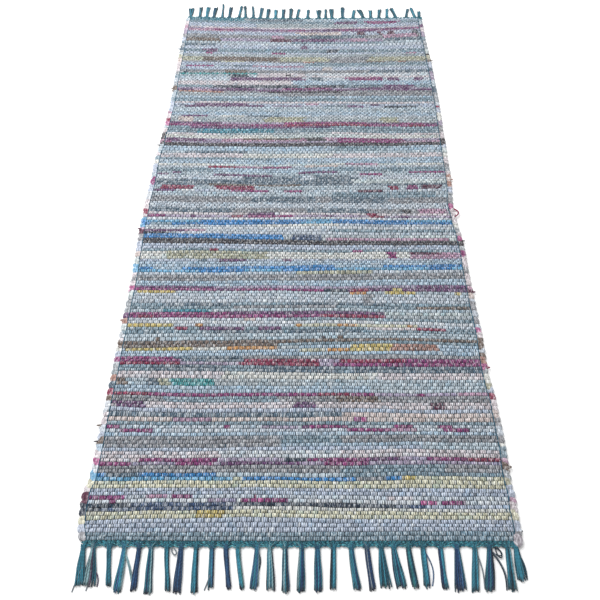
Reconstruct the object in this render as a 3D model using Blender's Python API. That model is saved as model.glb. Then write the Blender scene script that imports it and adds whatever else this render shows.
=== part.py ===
"""A hand-woven rag rug: one woven body, a knotted fringe at each end and a folded rag end.

Metres, +Z up. The rug lies flat on z = 0 with its length along Y. Its warp ends are knotted
in tassels at both ends: the near fringe is at -Y and the far fringe at +Y.
"""

import math

import bpy

MM = 0.001

# Driving dimensions of the woven body.
WIDTH = 0.700  # between the straight lines that the selvedges wander about
LENGTH = 1.500  # first pick to last pick
THICKNESS = 0.0070  # two rags and the warp between them
PICKS = 214  # rag wefts in the length
RIM = 0.0020  # how far the rag turns round at the rim
LOOP_DEPTH = 0.0035  # how far a selvedge loop stands out of the valley beside it
FAR_BOW = 0.0070  # how far the last pick sags towards the near end at mid-width
END_STEPS = 14  # straight stretches along each short end
FIT_GAP = 0.0003  # between pieces that meet

# The knotted fringes.
COMB_THICKNESS = 0.0055
BAND_INSET = 0.0020  # the knotted band stops this far inside the straight selvedge lines
KNOT_REACH = 0.0125  # how far the knots reach from the body
ARCH_REACH = 0.0090  # how far the band between two knots reaches
KNOT_WIDTH = 0.0095
NECK_WIDTH = 0.0070  # a tassel just under its knot
NECK_REACH = 0.0200
BELLY_SHARE = 0.55  # where along a tassel its strands have opened out
BELLY_WIDTH = 0.80  # of its width at the cut
END_SLANT = 0.0015  # how much further one side of a cut end reaches

# The folded end of the last rag, tucked out at the near right corner.
TAB_WIDTH = 0.0160
TAB_LENGTH = 0.0220
TAB_THICKNESS = 0.0080
TAB_CENTRE = (0.3460, -0.7450)
TAB_SIDES = 20
TAB_RIM = 0.0015

# How the two selvedges wander: how far each stands outside its straight line, in mm, at a
# distance from the near end, in mm.
SELVEDGES = (
    # along, left, right
    (0, 1.0, 4.0),
    (30, 8.0, 5.0),
    (60, 11.0, 4.0),
    (78, 11.5, 5.0),
    (105, 5.0, 3.0),
    (175, 5.0, 4.5),
    (250, 5.0, 3.4),
    (310, 4.5, -1.5),
    (385, 4.6, 0.0),
    (530, 4.0, -3.0),
    (595, 6.6, -3.0),
    (640, 8.0, -4.0),
    (690, 8.3, -8.5),
    (745, 8.6, -11.0),
    (815, 6.0, -5.0),
    (875, 7.4, -4.0),
    (945, 3.0, -2.5),
    (1035, -1.0, -1.0),
    (1095, -3.0, 0.5),
    (1260, 0.0, 0.0),
    (1405, 0.0, -4.0),
    (1500, 0.0, -4.5),
)

# The tassels of each end from left to right, in mm: where the knot is, how far the cut end
# lies to the right of it, how far it reaches from the body, and how wide it is there.
NEAR_TASSELS = (
    # knot, lean, reach, width
    (-341, 10, 63, 15),
    (-318, 7, 63, 16),
    (-300, 9, 63, 9),
    (-276, -1, 71, 14),
    (-253, 0, 69, 11),
    (-234, 4, 72, 14),
    (-209, 9, 69, 9),
    (-187, 1, 72, 14),
    (-163, 3, 71, 12),
    (-138, 3, 65, 10),
    (-116, 9, 65, 9),
    (-97, 10, 65, 9),
    (-67, -2, 66, 14),
    (-47, 4, 67, 14),
    (-23, 2, 69, 13),
    (3, -1, 69, 14),
    (28, 1, 69, 14),
    (53, -2, 66, 11),
    (81, 7, 67, 13),
    (106, 6, 67, 11),
    (128, 4, 64, 18),
    (148, 8, 64, 17),
    (171, 6, 64, 12),
    (194, 1, 64, 11),
    (221, 1, 66, 10),
    (247, -2, 68, 18),
    (275, -8, 69, 13),
    (298, -9, 69, 16),
    (327, -3, 68, 13),
    (340, 0, 54, 11),
)
FAR_TASSELS = (
    # knot, lean, reach, width
    (-338, -2, 58, 18),
    (-311, -1, 62, 11),
    (-290, 0, 63, 13),
    (-269, 2, 60, 14),
    (-244, -2, 78, 6),
    (-223, 2, 62, 12),
    (-194, 4, 69, 8),
    (-175, -5, 67, 8),
    (-152, -4, 67, 7),
    (-131, 3, 60, 11),
    (-110, 2, 53, 13),
    (-86, 0, 49, 11),
    (-64, 1, 49, 12),
    (-42, 2, 55, 13),
    (-22, 5, 51, 10),
    (9, 2, 47, 9),
    (42, 0, 47, 15),
    (62, 1, 51, 8),
    (80, 0, 53, 14),
    (112, 1, 62, 12),
    (143, 5, 46, 10),
    (172, -10, 51, 14),
    (195, 1, 47, 11),
    (219, 5, 51, 11),
    (243, 3, 55, 9),
    (268, -9, 58, 11),
    (300, 8, 53, 8),
    (325, -7, 58, 9),
    (338, 2, 40, 10),
)

# Colours, roughness and metallic value of each piece.
RAG_FINISH = ((0.45, 0.53, 0.60, 1.0), 0.95, 0.0)
FRINGE_FINISH = ((0.06, 0.24, 0.31, 1.0), 0.85, 0.0)
TAB_FINISH = ((0.33, 0.29, 0.31, 1.0), 0.95, 0.0)


def clear_scene():
    """Removes whatever the scene holds."""
    for existing in list(bpy.data.objects):
        bpy.data.objects.remove(existing, do_unlink=True)


def make_finish(name, finish):
    """A Principled material with one colour, roughness and metallic value."""
    colour, roughness, metallic = finish
    material = bpy.data.materials.new(name)
    material.use_nodes = True
    shader = material.node_tree.nodes["Principled BSDF"]
    shader.inputs["Base Color"].default_value = colour
    shader.inputs["Roughness"].default_value = roughness
    shader.inputs["Metallic"].default_value = metallic
    return material


def flat_piece(name, outline, thickness, rim, finish, collection):
    """A flat piece that lies on z = 0: a closed outline of (x, y) points, with an eased rim."""
    curve = bpy.data.curves.new(name, "CURVE")
    curve.dimensions = "2D"
    curve.fill_mode = "BOTH"
    curve.extrude = thickness / 2 - rim
    curve.bevel_depth = rim
    curve.bevel_resolution = 0
    curve.offset = -rim
    spline = curve.splines.new("POLY")
    spline.points.add(len(outline) - 1)
    for point, (x, y) in zip(spline.points, outline):
        point.co = (x, y, 0.0, 1.0)
    spline.use_cyclic_u = True
    curve.materials.append(make_finish(name + "_finish", finish))
    piece = bpy.data.objects.new(name, curve)
    piece.location = (0.0, 0.0, thickness / 2)
    collection.objects.link(piece)
    return piece


def wander(along, column):
    """How far a selvedge stands outside its straight line, eased between the table's rows."""
    along_mm = min(max(along / MM, SELVEDGES[0][0]), SELVEDGES[-1][0])
    for lower, upper in zip(SELVEDGES, SELVEDGES[1:]):
        if along_mm <= upper[0]:
            share = (along_mm - lower[0]) / (upper[0] - lower[0])
            eased = share * share * (3 - 2 * share)
            return (lower[column] + (upper[column] - lower[column]) * eased) * MM
    return SELVEDGES[-1][column] * MM


def selvedge(side, column, first_pick, last_pick):
    """Points up one side, where each rag turns back in a loop that is two picks long."""
    pitch = LENGTH / PICKS
    points = []
    for pick in range(first_pick, last_pick, 2):
        for step, depth in ((0.0, LOOP_DEPTH), (0.55, 0.0), (1.45, 0.0)):
            along = (pick + step) * pitch
            out = WIDTH / 2 + wander(along, column) - depth
            points.append((side * out, along - LENGTH / 2))
    return points


def body_end(end, x):
    """Where the body ends at x. The near end (-1) is straight, and the far end (+1) is bowed."""
    if end < 0:
        return -LENGTH / 2
    share = 2 * x / WIDTH
    return LENGTH / 2 - FAR_BOW * (1 - share * share)


def along_end(end, reach, half_width):
    """Points from right to left at a reach beyond the body's end."""
    points = []
    for index in range(END_STEPS + 1):
        x = half_width * (1 - 2 * index / END_STEPS)
        points.append((x, body_end(end, x) + end * reach))
    return points


def body_outline():
    """Anticlockwise from the notch at the near right corner that the folded rag end fills."""
    near = -LENGTH / 2
    notch_x = TAB_CENTRE[0] - TAB_WIDTH / 2 - FIT_GAP
    notch_y = TAB_CENTRE[1] + TAB_LENGTH / 2 + FIT_GAP
    right = [p for p in selvedge(1, 2, 3, PICKS - 1) if p[1] > notch_y + RIM]
    left = selvedge(-1, 1, 0, PICKS - 1)
    corner_x = WIDTH / 2 - LOOP_DEPTH
    outline = [(notch_x, near), (notch_x, notch_y)]
    outline.append((corner_x, notch_y))
    outline += right
    outline += along_end(1, 0.0, corner_x)
    outline += reversed(left[1:])
    outline.append((-corner_x, near))
    return outline


def tassel_side(tassel, side):
    """Points down one side of a tassel, as (x, reach), from its knot to its cut end."""
    knot, lean, reach, width = (value * MM for value in tassel)
    belly_reach = NECK_REACH + (reach - NECK_REACH) * BELLY_SHARE
    stations = (
        (KNOT_REACH, KNOT_WIDTH),
        (NECK_REACH, NECK_WIDTH),
        (belly_reach, width * BELLY_WIDTH),
        (reach + side * END_SLANT / 2, width),
    )
    points = []
    for station_reach, station_width in stations:
        slide = (station_reach - KNOT_REACH) / (reach - KNOT_REACH)
        x = knot + lean * slide + side * min(station_width, width) / 2
        points.append((x, station_reach))
    return points


def comb_outline(tassels, end):
    """A fringe's comb: the knotted band along one end of the body, with its tassels.

    The band's right end is narrower at the near end, to leave room for the folded rag end.
    Its arches follow the body's end, and its tassels reach out from the straight line.
    """
    half_band = WIDTH / 2 - BAND_INSET
    step_x = TAB_CENTRE[0] - TAB_WIDTH / 2 - FIT_GAP
    step_y = TAB_CENTRE[1] - TAB_LENGTH / 2 - FIT_GAP
    outline = []
    for index, tassel in enumerate(tassels):
        if index:
            arch_x = (tassels[index - 1][0] + tassel[0]) / 2 * MM
            gap = (tassel[0] - tassels[index - 1][0]) * MM
            if gap > 1.6 * KNOT_WIDTH:
                outline.append((arch_x, body_end(end, arch_x) + end * ARCH_REACH))
        edge = tassel_side(tassel, -1) + tassel_side(tassel, 1)[::-1]
        outline += [(x, end * (LENGTH / 2 + reach)) for x, reach in edge]
    inner_edge = along_end(end, FIT_GAP, half_band)
    if end < 0:
        outline += [(half_band, step_y), (step_x, step_y)]
        inner_edge = [(step_x, inner_edge[0][1])] + inner_edge[1:]
    return outline + inner_edge


def tab_outline():
    """The rounded, slightly squared shape of the folded rag end."""
    points = []
    for index in range(TAB_SIDES):
        turn = 2 * math.pi * index / TAB_SIDES
        across = math.copysign(abs(math.cos(turn)) ** 0.75, math.cos(turn))
        along = math.copysign(abs(math.sin(turn)) ** 0.75, math.sin(turn))
        x = TAB_CENTRE[0] + across * TAB_WIDTH / 2
        y = TAB_CENTRE[1] + along * TAB_LENGTH / 2
        points.append((x, y))
    return points


clear_scene()
rug = bpy.data.collections.new("rag_rug")
bpy.context.scene.collection.children.link(rug)

flat_piece("rug_body", body_outline(), THICKNESS, RIM, RAG_FINISH, rug)

near_comb = comb_outline(NEAR_TASSELS, -1)
far_comb = comb_outline(FAR_TASSELS, 1)
flat_piece("fringe_near", near_comb, COMB_THICKNESS, 0.0, FRINGE_FINISH, rug)
flat_piece("fringe_far", far_comb, COMB_THICKNESS, 0.0, FRINGE_FINISH, rug)
flat_piece("rag_end", tab_outline(), TAB_THICKNESS, TAB_RIM, TAB_FINISH, rug)
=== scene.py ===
import math

import bpy
import numpy as np
from mathutils import Matrix, Vector


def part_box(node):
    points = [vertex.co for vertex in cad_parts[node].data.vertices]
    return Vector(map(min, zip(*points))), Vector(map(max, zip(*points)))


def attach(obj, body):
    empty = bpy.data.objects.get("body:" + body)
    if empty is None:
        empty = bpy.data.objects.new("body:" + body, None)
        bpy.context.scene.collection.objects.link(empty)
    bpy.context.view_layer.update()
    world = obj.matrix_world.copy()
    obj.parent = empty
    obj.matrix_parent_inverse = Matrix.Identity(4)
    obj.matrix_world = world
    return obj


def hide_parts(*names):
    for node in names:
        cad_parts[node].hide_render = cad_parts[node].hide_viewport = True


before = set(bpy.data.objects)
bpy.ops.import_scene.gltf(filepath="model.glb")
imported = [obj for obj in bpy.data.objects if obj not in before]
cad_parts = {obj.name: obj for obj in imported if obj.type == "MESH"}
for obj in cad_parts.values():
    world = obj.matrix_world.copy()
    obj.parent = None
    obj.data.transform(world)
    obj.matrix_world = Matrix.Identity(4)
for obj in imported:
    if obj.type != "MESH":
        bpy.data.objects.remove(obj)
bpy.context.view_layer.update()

# ---------------------------------------------------------------------------------------
# The warp: 120 doubled ends of petrol-teal cotton yarn, tied on the loom first and pulled
# tight. They run from fringe to fringe, over one rag and under the next. The outermost
# ends are laid in double, so each side has a dark line just inside its selvedge.
# ---------------------------------------------------------------------------------------
MM = 0.001
ENDS = 120
WIDTH = 0.700  # between the straight lines that the selvedges wander about
LENGTH = 1.500
PICKS = 214  # rags in the length
PITCH = LENGTH / PICKS
WEB_MIDDLE = 0.0035  # height of the middle of the cloth
NEAR_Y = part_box("rug_body")[0].y  # where the first rag lies
TURNING = 0.0130  # from the outermost end to the edge of the rug

# How far each selvedge stands outside its straight line, in mm, along the rug in mm.
SELVEDGES = np.array((
    # along, left, right
    (0, 1.0, 4.0), (30, 8.0, 5.0), (60, 11.0, 4.0), (78, 11.5, 5.0), (105, 5.0, 3.0),
    (175, 5.0, 4.5), (250, 5.0, 3.4), (310, 4.5, -1.5), (385, 4.6, 0.0), (530, 4.0, -3.0),
    (595, 6.6, -3.0), (640, 8.0, -4.0), (690, 8.3, -8.5), (745, 8.6, -11.0),
    (815, 6.0, -5.0), (875, 7.4, -4.0), (945, 3.0, -2.5), (1035, -1.0, -1.0),
    (1095, -3.0, 0.5), (1260, 0.0, 0.0), (1405, 0.0, -4.0), (1500, 0.0, -4.5),
))

# How far the beaten-up rags have moved along the rug, in picks: they never lie quite
# straight. The last one bows towards the near end. Six places across, left to right.
SETTLED = np.array((
    # rag, then its shift at 0, 20, 40, 60, 80 and 100 % of the width
    (0, 0.6, 0.6, 0.7, 0.9, 1.1, 1.2),
    (2, 0.3, 0.4, 0.6, 0.9, 1.2, 1.3),
    (5, 0.0, 0.6, 1.0, 0.8, 0.8, 0.8),
    (9, -0.2, 0.2, 0.5, 0.3, 0.1, 0.2),
    (16, -0.8, -0.6, -0.4, -0.4, 0.1, -0.1),
    (25, -1.4, -1.3, -0.9, -0.6, -0.2, -0.4),
    (31, -1.2, -1.3, -1.1, -0.9, -0.9, -0.9),
    (34, -0.2, -0.7, -0.5, -0.2, -0.5, -0.3),
    (38, -0.9, -1.3, -1.0, -0.8, -0.9, -0.6),
    (46, -0.8, -0.8, -0.9, -1.1, -1.1, -0.9),
    (53, -1.8, -1.4, -0.9, -0.2, 0.2, -0.4),
    (60, -0.7, -0.6, -0.6, -0.3, -0.6, -1.2),
    (65, -0.9, -0.7, -0.2, 0.0, -0.5, -0.4),
    (70, 0.0, -0.1, 0.0, -0.4, -0.1, -0.4),
    (75, -0.6, -0.7, -0.3, -0.2, 0.4, 0.7),
    (79, -0.4, -0.4, 0.0, 0.7, 0.8, 1.2),
    (86, -0.3, 0.0, -0.3, -0.6, -0.2, -0.3),
    (91, 0.0, 0.0, -0.4, -0.7, -0.7, -0.6),
    (97, -0.5, -0.4, -0.2, 0.4, 0.0, 0.1),
    (103, 0.4, -0.2, -0.1, -0.1, -0.4, -0.2),
    (110, -0.5, -1.0, -1.1, -1.0, -1.2, -1.0),
    (113, -0.6, -0.7, -1.1, -0.8, -0.6, 0.1),
    (118, -0.7, -1.3, -2.0, -0.9, -0.8, -0.5),
    (124, -1.4, -1.6, -2.0, -0.9, -1.0, -0.6),
    (130, -1.4, -1.4, -1.7, -1.4, -1.2, -0.6),
    (134, -0.5, -0.8, -0.9, -0.5, -0.2, 0.4),
    (141, -1.3, -2.1, -1.6, -1.0, -1.7, -1.3),
    (147, -0.4, -0.7, -0.9, -0.4, -0.7, -0.7),
    (156, -1.2, -1.1, -1.2, -1.1, -1.4, -1.0),
    (165, -0.1, -0.8, -1.0, -0.6, -0.2, -0.1),
    (173, -1.5, -1.5, -1.3, -1.3, -1.1, -1.0),
    (180, -1.3, -1.3, -2.0, -1.8, -1.3, -0.8),
    (190, -1.5, -2.0, -2.3, -2.3, -1.8, -1.4),
    (195, -1.1, -1.2, -1.2, -1.6, -1.2, -0.4),
    (197, 0.4, -0.3, -0.7, -0.6, -0.2, 1.1),
    (203, 1.6, 0.6, -0.1, 0.2, 0.8, 2.5),
    (209, 0.8, -0.1, -0.8, -1.0, -0.4, 1.0),
    (214, 0.1, -0.6, -1.0, -1.0, -0.6, 0.0),
))
LEAST_PICK = 0.62  # rags can't be beaten closer than this share of their pitch


def eased(rows, place):
    """The values of a table at places along its first column, eased between its rows."""
    marks = rows[:, 0]
    place = np.clip(np.asarray(place, float), marks[0], marks[-1])
    row = np.clip(np.searchsorted(marks, place, side="right") - 1, 0, len(marks) - 2)
    share = (place - marks[row]) / (marks[row + 1] - marks[row])
    share = (share * share * (3 - 2 * share))[..., None]
    return rows[row, 1:] * (1 - share) + rows[row + 1, 1:] * share


def edge_x(side, y):
    """Where the rug's edge is at y: side is -1 for the left and 1 for the right."""
    column = 0 if side < 0 else 1
    return side * (WIDTH / 2 + eased(SELVEDGES, (y - NEAR_Y) / MM)[..., column] * MM)


def field_x(across, y):
    """The x of a place across the warp, from 0 at its left end to 1 at its right end."""
    left = edge_x(-1, y) + TURNING
    right = edge_x(1, y) - TURNING
    return left + (right - left) * across


def shed_lines(across):
    """The y of the line between each rag and the next, at places across the warp."""
    picks = np.arange(PICKS + 1)
    shifts = eased(SETTLED, picks)
    columns = np.clip(across, 0, 1) * (shifts.shape[1] - 1)
    left = np.minimum(columns.astype(int), shifts.shape[1] - 2)
    share = columns - left
    share = share * share * (3 - 2 * share)
    lines = picks[:, None] + shifts[:, left] * (1 - share) + shifts[:, left + 1] * share
    for pick in range(1, PICKS + 1):
        lines[pick] = np.maximum(lines[pick], lines[pick - 1] + LEAST_PICK)
    return NEAR_Y + lines * PITCH


def smooth_noise(random, shape, reach):
    """Even noise, about -1 to 1, that changes over reach steps along its last axis."""
    raw = random.normal(size=shape[:-1] + (shape[-1] + 6 * reach,))
    taps = np.hanning(2 * reach + 3)[1:-1]
    smooth = np.apply_along_axis(np.convolve, -1, raw, taps / np.sqrt((taps**2).sum()), "same")
    return smooth[..., 3 * reach:3 * reach + shape[-1]] * 0.6


def dye(code):
    """The linear colour of a hex colour code."""
    channels = np.array([int(code[i:i + 2], 16) for i in (1, 3, 5)]) / 255
    return np.where(channels <= 0.04045, channels / 12.92, ((channels + 0.055) / 1.055) ** 2.4)


MAP_GAP = 0.02  # left free between two strands in the OFBake map, as a share of a strand


def strands(name, rings, colours, material, run):
    """One mesh of closed strands from rings[strand, ring, side] of points and colours.

    run[strand, ring] is how far along its strand a ring lies, in turns of the yarn or pleats
    of the rag; it goes into the map named Lay, beside how far round the strand a side is."""
    count, length, sides = rings.shape[:3]
    index = np.arange(count * length * sides).reshape(count, length, sides)
    near, far = index[:, :-1], index[:, 1:]
    quads = np.stack([near, far, np.roll(far, -1, 2), np.roll(near, -1, 2)], -1)
    face = rings[0, 0, 1] - rings[0, 0, 0]
    step = rings[0, 1, 0] - rings[0, 0, 0]
    outward = (rings[0, 0, 0] + rings[0, 0, 1]) / 2 - rings[0, 0].mean(0)
    turned = np.dot(np.cross(step, face), outward) < 0
    caps = np.stack([index[:, 0, ::-1], index[:, -1]], 1).reshape(-1, sides)
    across_map = (np.arange(sides + 1) / sides * (1 - 2 * MAP_GAP) + MAP_GAP)
    strand_v = (np.arange(count)[:, None] + across_map) / count
    strand_u = np.tile(np.arange(length) / (length - 1), (count, 1))
    round_v = np.tile(np.arange(sides + 1) / sides, (count, 1))
    s, r, k = np.meshgrid(np.arange(count), np.arange(length - 1), np.arange(sides), indexing="ij")

    def four_corners(along, around):
        """The values along and around the strands at the corners of each quad."""
        corners = ((r, k), (r + 1, k), (r + 1, k + 1), (r, k + 1))
        pairs = [np.stack([along[s, ring], around[s, side]], -1) for ring, side in corners]
        return np.stack(pairs, -2).reshape(-1, 2)

    quad_uv = four_corners(strand_u, strand_v)
    quad_lay = four_corners(run, round_v)
    cap_v = strand_v[:, :sides]
    cap_uv = np.stack([
        np.stack([np.zeros_like(cap_v), cap_v[:, ::-1]], -1),
        np.stack([np.ones_like(cap_v), cap_v], -1),
    ], 1).reshape(-1, 2)
    quads = quads.reshape(-1, 4)
    if turned:
        quads, quad_uv = quads[:, ::-1], quad_uv.reshape(-1, 4, 2)[:, ::-1].reshape(-1, 2)
        quad_lay = quad_lay.reshape(-1, 4, 2)[:, ::-1].reshape(-1, 2)
        caps, cap_uv = caps[:, ::-1], cap_uv.reshape(-1, sides, 2)[:, ::-1].reshape(-1, 2)
    corners = np.concatenate([quads.ravel(), caps.ravel()]).astype(np.int32)
    starts = np.concatenate([
        np.arange(len(quads)) * 4, len(quads) * 4 + np.arange(len(caps)) * sides,
    ]).astype(np.int32)
    mesh = bpy.data.meshes.new(name)
    mesh.vertices.add(index.size)
    mesh.vertices.foreach_set("co", rings.astype(np.float32).ravel())
    mesh.loops.add(len(corners))
    mesh.loops.foreach_set("vertex_index", corners)
    mesh.polygons.add(len(starts))
    mesh.polygons.foreach_set("loop_start", starts)
    mesh.polygons.foreach_set("use_smooth", np.ones(len(starts), bool))
    tint = mesh.color_attributes.new("dye", "FLOAT_COLOR", "POINT")
    rgba = np.ones((index.size, 4), np.float32)
    rgba[:, :3] = colours.reshape(-1, 3)
    tint.data.foreach_set("color", rgba.ravel())
    bake_map = mesh.uv_layers.new(name="OFBake")
    bake_map.data.foreach_set("uv", np.concatenate([quad_uv, cap_uv]).astype(np.float32).ravel())
    lay_map = mesh.uv_layers.new(name="Lay")
    lay_values = np.concatenate([quad_lay, np.zeros((caps.size, 2))]).astype(np.float32)
    lay_map.data.foreach_set("uv", lay_values.ravel())
    mesh.materials.append(material)
    mesh.update(calc_edges=True)
    piece = bpy.data.objects.new(name, mesh)
    bpy.context.scene.collection.objects.link(piece)
    return piece


def shader_of(name, roughness):
    """A new material with its node tree, shader and colour attribute ready to wire."""
    material = bpy.data.materials.new(name)
    material.use_nodes = True
    nodes = material.node_tree.nodes
    shader = nodes["Principled BSDF"]
    shader.inputs["Roughness"].default_value = roughness
    shader.inputs["Specular IOR Level"].default_value = 0.25
    tint = nodes.new("ShaderNodeAttribute")
    tint.attribute_name = "dye"
    return material, shader, tint.outputs["Color"]


def add_node(material, kind, settings, **inputs):
    """Adds a node, sets its properties, and links or sets each named input."""
    node = material.node_tree.nodes.new(kind)
    for key, value in settings.items():
        setattr(node, key, value)
    for key, value in inputs.items():
        socket = node.inputs[int(key[1:]) if key[0] == "i" and key[1:].isdigit() else key]
        if isinstance(value, bpy.types.NodeSocket):
            material.node_tree.links.new(value, socket)
        else:
            socket.default_value = value
    return node


def ramp_of(material, value, stops):
    """A colour ramp over value, with stops of (place, grey or colour)."""
    node = add_node(material, "ShaderNodeValToRGB", {}, Fac=value)
    elements = node.color_ramp.elements
    while len(elements) < len(stops):
        elements.new(0.5)
    for element, (place, shade) in zip(elements, stops):
        element.position = place
        element.color = (*shade, 1) if hasattr(shade, "__len__") else (shade, shade, shade, 1)
    return node.outputs["Color"]


def sum_of(material, operation, *values):
    """The result of one sum: each value is a socket or a number."""
    named = {f"i{number}": value for number, value in enumerate(values)}
    return add_node(material, "ShaderNodeMath", {"operation": operation}, **named).outputs[0]


def noise_of(material, where, scale, detail, **more):
    """Soft noise, about 0.3 to 0.7, with features of about 1 m over its scale."""
    return add_node(
        material, "ShaderNodeTexNoise", {}, Vector=where, Scale=scale, Detail=detail, **more,
    ).outputs["Fac"]


def waves(material, turns, rounds, wander=0.0):
    """Even waves, 0 to 1, along the Lay map: turns per step along and rounds about a strand."""
    lay = add_node(material, "ShaderNodeUVMap", {"uv_map": "Lay"}).outputs["UV"]
    split = add_node(material, "ShaderNodeSeparateXYZ", {}, Vector=lay)
    phase = sum_of(material, "MULTIPLY_ADD", split.outputs["Y"], float(rounds), wander)
    phase = sum_of(material, "MULTIPLY_ADD", split.outputs["X"], float(turns), phase)
    angle = sum_of(material, "MULTIPLY", phase, 2 * math.pi)
    swing = sum_of(material, "SINE", angle)
    return sum_of(material, "MULTIPLY_ADD", swing, 0.5, 0.5)


def shaded(material, tint, *layers):
    """tint darkened and lightened by each layer: a value and its (place, grey) stops."""
    for value, stops in layers:
        tint = add_node(
            material, "ShaderNodeMix", {"data_type": "RGBA", "blend_type": "MULTIPLY"},
            i0=1.0, i6=tint, i7=ramp_of(material, value, stops),
        ).outputs[2]
    return tint


def relief_of(material, *layers):
    """One normal from several heights: each layer is a value, a strength and a depth."""
    normal = None
    for value, strength, depth in layers:
        more = {"Normal": normal} if normal else {}
        normal = add_node(
            material, "ShaderNodeBump", {}, Strength=strength, Distance=depth, Height=value, **more,
        ).outputs["Normal"]
    return normal


def finish(material, shader, shade, relief, roughness, sheen, sheen_roughness):
    """Wires the colour, relief and roughness to the shader, and gives the cloth its sheen."""
    links = material.node_tree.links
    links.new(shade, shader.inputs["Base Color"])
    links.new(relief, shader.inputs["Normal"])
    links.new(roughness, shader.inputs["Roughness"])
    shader.inputs["Sheen Weight"].default_value = sheen
    shader.inputs["Sheen Roughness"].default_value = sheen_roughness


def yarn(name):
    """Dyed cotton yarn: plied, a little hairy, lighter where it has rubbed, with painted shade in
    the grooves of its plies and under its lint.
    """
    material, shader, tint = shader_of(name, 0.85)
    where = add_node(material, "ShaderNodeTexCoord", {}).outputs["Object"]
    plies = waves(material, 1, 2)
    lint = noise_of(material, where, 900.0, 4.0, Roughness=0.7)
    patches = noise_of(material, where, 70.0, 3.0)
    # Painted shade in the grooves of the plies and under the lint; the patches are random.
    shade = shaded(
        material, tint,
        (plies, ((0.0, 0.50), (0.4, 0.95), (1.0, 1.0))),
        (patches, ((0.3, 0.65), (0.5, 0.9), (0.72, 1.0))),
        (lint, ((0.35, 0.75), (0.7, 1.0))),
    )
    relief = relief_of(material, (plies, 0.6, 0.0004), (lint, 0.35, 0.0002))
    roughness = ramp_of(material, lint, ((0.2, 0.75), (0.8, 0.97)))
    finish(material, shader, shade, relief, roughness, 0.15, 0.6)
    return material


WARP_RADIUS = 0.0010
WARP_RISE = 0.0014  # how far a warp end goes above and below the middle of the cloth
EDGE_ENDS = 1  # ends on each side that are laid in double
EDGE_RISE = 0.0020  # and pulled up out of the cloth, over rags that sag between loop and end
EDGE_STEADY = 0.35  # share of their rise and fall that they keep
EDGE_FATNESS = 1.7
EDGE_WANDER, END_WANDER = 0.0009, 0.0004  # how far an outer end and the others lie aside
HEIGHT_STRAY = 0.00012
FATNESS_DRIFT, DYE_DRIFT = 0.12, 0.18
RING_AT = 0.22  # where an end has its rings, as a share of a rag from each side of it
YARN_LAY = 0.0055  # length of one turn of the plies
TEALS = np.array([dye(code) for code in ("#1f4a5c", "#173646", "#1f5064", "#1a3f4d", "#284c58")])

random = np.random.default_rng(7)
ends_across = np.arange(ENDS) / (ENDS - 1)
end_lines = shed_lines(ends_across)
quarter = np.stack([
    end_lines[:-1] * (1 - RING_AT) + end_lines[1:] * RING_AT,
    end_lines[:-1] * RING_AT + end_lines[1:] * (1 - RING_AT),
], 1).reshape(2 * PICKS, ENDS).T
pick_of_ring = np.repeat(np.arange(PICKS), 2)
over = (np.arange(ENDS)[:, None] + pick_of_ring) % 2 == 1
heights = WEB_MIDDLE + np.where(over, WARP_RISE, -WARP_RISE)
heights += random.normal(size=heights.shape) * HEIGHT_STRAY
fatness = 1 + FATNESS_DRIFT * smooth_noise(random, (ENDS, 2 * PICKS), 3)
outer = np.minimum(np.arange(ENDS), ENDS - 1 - np.arange(ENDS)) < EDGE_ENDS
heights[outer] = WEB_MIDDLE + EDGE_RISE + EDGE_STEADY * (heights[outer] - WEB_MIDDLE)
fatness *= np.where(outer, EDGE_FATNESS, 1.0)[:, None]
warp_x = field_x(ends_across[:, None], quarter)
wander = np.where(outer, EDGE_WANDER, END_WANDER)[:, None]
warp_x += wander * smooth_noise(random, (ENDS, 2 * PICKS), 6)
angles = np.radians([90.0, 210.0, 330.0])
section = WARP_RADIUS * np.stack([np.cos(angles) * 1.1, np.sin(angles)], -1)
warp_rings = np.stack([
    warp_x[..., None] + fatness[..., None] * section[:, 0],
    np.broadcast_to(quarter[..., None], quarter.shape + (3,)),
    heights[..., None] + fatness[..., None] * section[:, 1],
], -1)
end_dye = TEALS[random.integers(0, len(TEALS), ENDS)]
end_dye[outer] = dye("#2a6078")
warp_colours = np.broadcast_to(end_dye[:, None, None], warp_rings.shape).copy()
warp_colours *= 1 + DYE_DRIFT * smooth_noise(random, (ENDS, 2 * PICKS), 8)[..., None, None]

cotton = yarn("teal_cotton")
for name, chosen in (("warp_left", slice(0, ENDS // 2)), ("warp_right", slice(ENDS // 2, ENDS))):
    turns = (quarter - NEAR_Y) / YARN_LAY
    piece = strands(name, warp_rings[chosen], warp_colours[chosen], cotton, turns[chosen])
    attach(piece, "root")

# ---------------------------------------------------------------------------------------
# The weft: strips torn from old cotton shirts and sheets, each about 30 mm wide and bunched
# up as it is laid in. One strip gives way to the next inside the shed, so colours change
# part of the way across. Each rag swells up between the warp ends that cross it.
# ---------------------------------------------------------------------------------------
RAG_DYES = {
    "white": "#e0e7f0", "milk": "#ced9e6", "frost": "#bfd0dc", "lilac": "#bfcce2",
    "mint": "#d4e1e3", "cream": "#e8e9e4", "butter": "#e4e2c6", "olive": "#bfbfa6",
    "mustard": "#dac470", "orange": "#dca05c", "rust": "#b8887a", "peach": "#e2d2ce",
    "blush": "#e6dce2", "rose": "#c297b3", "pink": "#c05c9a", "magenta": "#96337a",
    "crimson": "#981f50", "wine": "#662748", "plum": "#703e74", "mauve": "#b0a1be",
    "indigo": "#34507a", "navy": "#162a44", "blue": "#288ad2", "deep": "#2580c6",
    "sky": "#6ab4e0", "azure": "#b4cde2", "teal": "#3c90a6", "sea": "#34a0a4",
    "slate": "#587084", "steel": "#88a2b2", "grey": "#a8b0b8", "taupe": "#9a9ba2",
    "brown": "#7c6a60", "umber": "#40383f", "sage": "#b6c1c8",
}

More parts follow.
